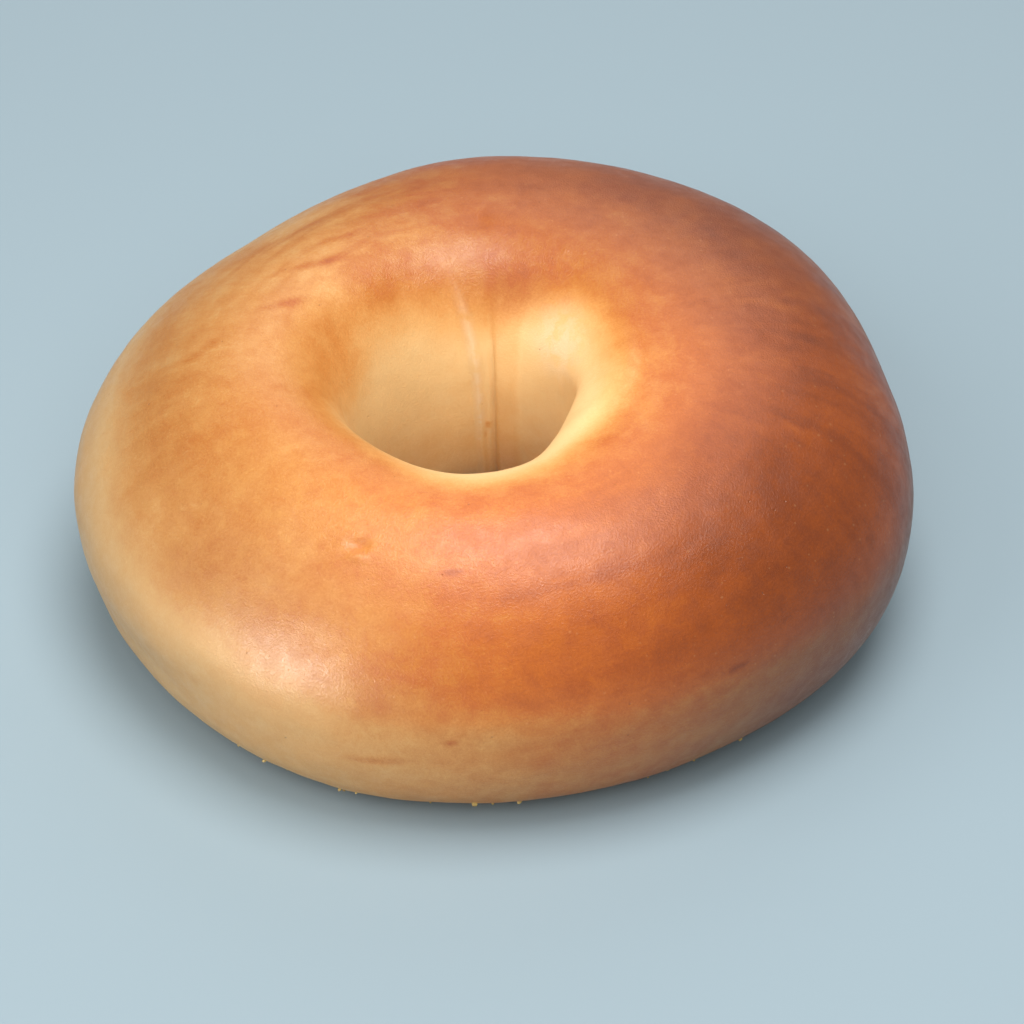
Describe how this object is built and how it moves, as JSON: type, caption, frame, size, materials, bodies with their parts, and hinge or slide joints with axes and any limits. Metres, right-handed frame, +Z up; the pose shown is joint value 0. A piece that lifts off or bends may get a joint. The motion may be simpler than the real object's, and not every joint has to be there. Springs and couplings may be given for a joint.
{
  "type": "bagel",
  "caption": "Plain round bagel, baked in one piece: a plump ring of dough with a smooth domed top, a funnel-shaped off-centre hole and a flat underside.",
  "frame": {"origin": "under the middle of the bagel, on the surface that it rests on", "axes": "+Z up through the domed top, +X to the right and -Y towards the front, which is the side opposite the seam in the hole's wall"},
  "size_m": [0.1172, 0.1146, 0.043],
  "materials": {
    "crust": "satin",
    "cornmeal": "matte"
  },
  "bodies": {
    "root": {"bagel": "crust"}
  },
  "joints": []
}
